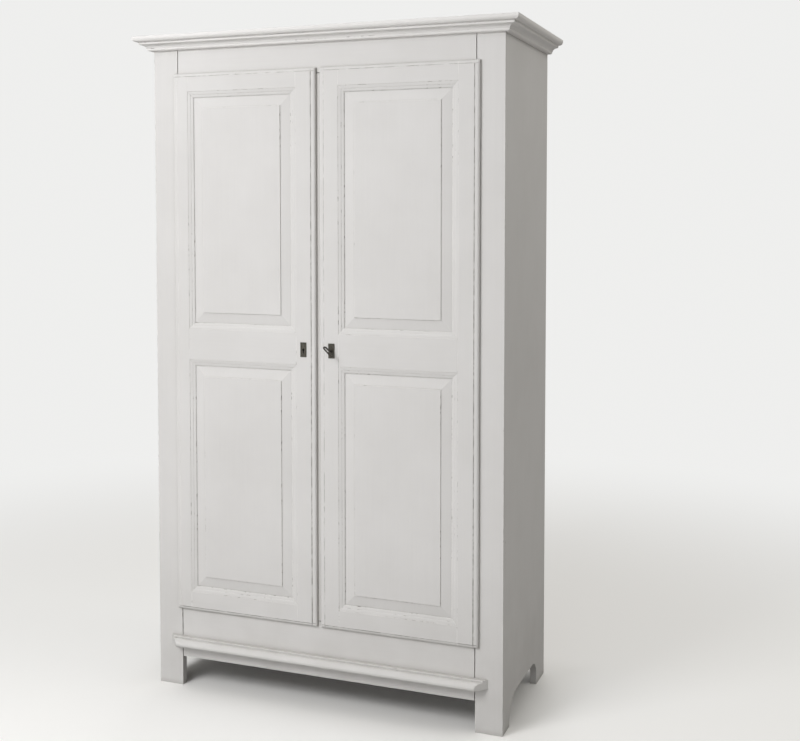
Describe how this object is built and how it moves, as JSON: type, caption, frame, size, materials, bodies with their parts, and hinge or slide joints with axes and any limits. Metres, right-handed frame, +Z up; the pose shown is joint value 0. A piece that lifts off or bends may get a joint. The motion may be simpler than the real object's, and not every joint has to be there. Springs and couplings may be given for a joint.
{
  "type": "wardrobe",
  "caption": "Tall painted wooden wardrobe with lipped panelled doors, cornice, hanging space, hat shelf and a key lock.",
  "frame": {"origin": "centre of the bounding box at floor level", "axes": "+Z up, +Y towards the back, +X to the right as seen from the front"},
  "size_m": [1.197, 0.5304, 1.9835],
  "materials": {
    "painted_wood": "matte chalky off-white paint, lightly worn",
    "bare_wood": "waxed softwood",
    "black_iron": "dark bronzed iron",
    "painted_steel": "painted over",
    "bright_steel": "dull"
  },
  "bodies": {
    "carcass": {"left_side_panel": "painted_wood", "right_side_panel": "painted_wood", "left_front_stile": "painted_wood", "right_front_stile": "painted_wood", "frieze_rail": "painted_wood", "bottom_rail": "painted_wood", "bottom_moulding": "painted_wood", "front_cornice": "painted_wood", "left_cornice": "painted_wood", "right_cornice": "painted_wood", "top_board": "bare_wood", "floor_board": "bare_wood", "back_boards": "bare_wood", "upper_back_batten": "bare_wood", "lower_back_batten": "bare_wood", "left_floor_batten": "bare_wood", "right_floor_batten": "bare_wood", "hat_shelf": "bare_wood", "left_shelf_batten": "bare_wood", "right_shelf_batten": "bare_wood", "clothes_rail": "bare_wood", "left_rail_socket": "bare_wood", "right_rail_socket": "bare_wood", "upper_bolt_keeper": "black_iron", "lower_bolt_keeper": "black_iron", "left_frame_leaves": "painted_steel", "right_frame_leaves": "painted_steel", "left_hinge_pins": "bright_steel", "right_hinge_pins": "bright_steel"},
    "right_door": {"right_hinge_stile": "painted_wood", "right_meeting_stile": "painted_wood", "right_top_rail": "painted_wood", "right_lock_rail": "painted_wood", "right_bottom_rail": "painted_wood", "right_upper_panel": "painted_wood", "right_lower_panel": "painted_wood", "lock_case": "black_iron", "right_escutcheon": "black_iron", "right_door_leaves": "painted_steel"},
    "left_door": {"left_hinge_stile": "painted_wood", "left_meeting_stile": "painted_wood", "left_top_rail": "painted_wood", "left_lock_rail": "painted_wood", "left_bottom_rail": "painted_wood", "left_upper_panel": "painted_wood", "left_lower_panel": "painted_wood", "closing_strip": "painted_wood", "left_escutcheon": "black_iron", "lock_keeper": "black_iron", "upper_bolt_guide": "black_iron", "lower_bolt_guide": "black_iron", "left_door_leaves": "painted_steel"},
    "key": {"key": "black_iron"},
    "lock_bolt": {"lock_bolt": "black_iron"},
    "upper_bolt": {"upper_bolt": "black_iron"},
    "lower_bolt": {"lower_bolt": "black_iron"}
  },
  "joints": [
    {"name": "right_door_hinge", "type": "hinge", "parent": "carcass", "child": "right_door", "pos_m": [0.4788, -0.21975, 1.0575], "axis": [0, 0, 1], "range_deg": [0, 110]},
    {"name": "left_door_hinge", "type": "hinge", "parent": "carcass", "child": "left_door", "pos_m": [-0.4788, -0.21975, 1.0575], "axis": [0, 0, -1], "range_deg": [0, 110]},
    {"name": "key_turn", "type": "hinge", "parent": "right_door", "child": "key", "pos_m": [0.0395, -0.21675, 1.0575], "axis": [0, -1, 0], "range_deg": [-45.5, 135.5]},
    {"name": "lock_bolt_throw", "type": "slide", "parent": "right_door", "child": "lock_bolt", "axis": [-1, 0, 0], "range_m": [-0.0035, 0.0105]},
    {"name": "upper_bolt_slide", "type": "slide", "parent": "left_door", "child": "upper_bolt", "axis": [0, 0, 1], "range_m": [0, 0.02]},
    {"name": "lower_bolt_slide", "type": "slide", "parent": "left_door", "child": "lower_bolt", "axis": [0, 0, -1], "range_m": [0, 0.02]}
  ],
  "couplings": [
    {"joint": "key_turn", "follows": "lock_bolt_throw", "rad_per_m": 224.4}
  ]
}
